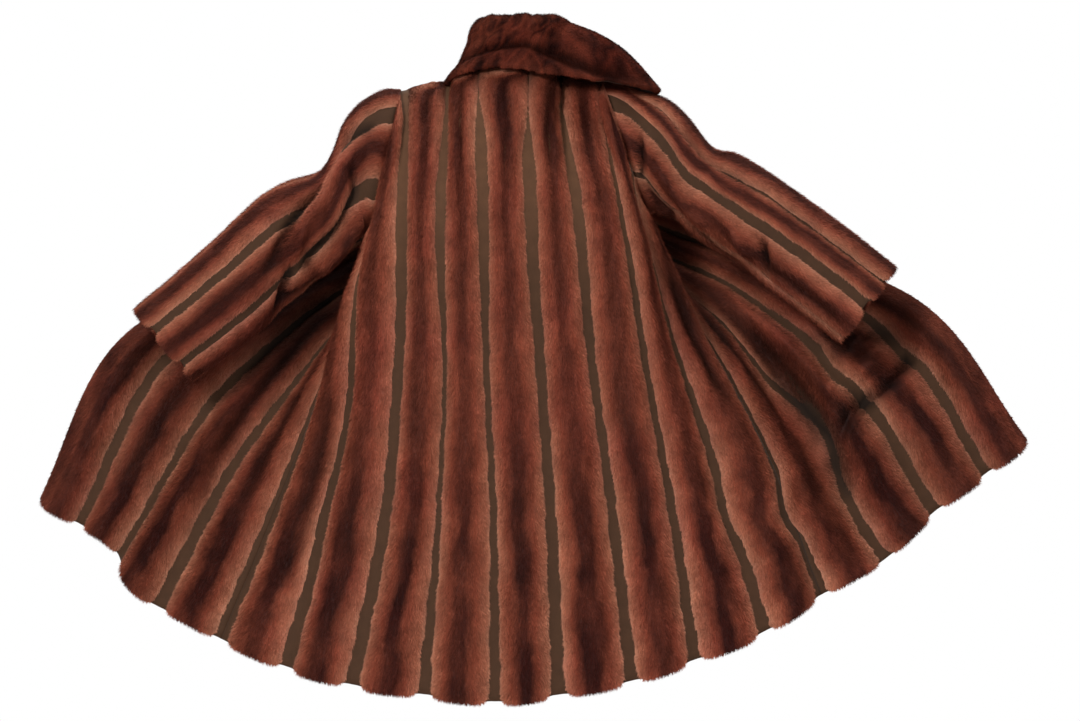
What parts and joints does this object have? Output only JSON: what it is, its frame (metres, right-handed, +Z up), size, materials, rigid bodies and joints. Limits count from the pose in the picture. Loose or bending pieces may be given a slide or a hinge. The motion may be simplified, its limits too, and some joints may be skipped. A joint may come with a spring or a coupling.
{
  "type": "fur coat",
  "caption": "Full-length swing coat of brown fur strips and narrow leather strips with a large fur collar, worn open with both fronts held out wide.",
  "frame": {"origin": "middle of the neck between the shoulders, where the wearer carries the coat", "axes": "+Z up, +Y the way the wearer looks, so the back of the coat faces -Y; +X towards the wearer's right arm"},
  "size_m": [1.8072, 0.4177, 1.2358],
  "materials": {
    "fur": "short dense brown fur with olive-brown leather strips",
    "collar_fur": "short dense dark brown fur"
  },
  "bodies": {
    "root": {"front_left": "fur", "back": "fur", "front_right": "fur", "sleeve_left": "fur", "sleeve_right": "fur", "collar": "collar_fur"}
  },
  "joints": []
}
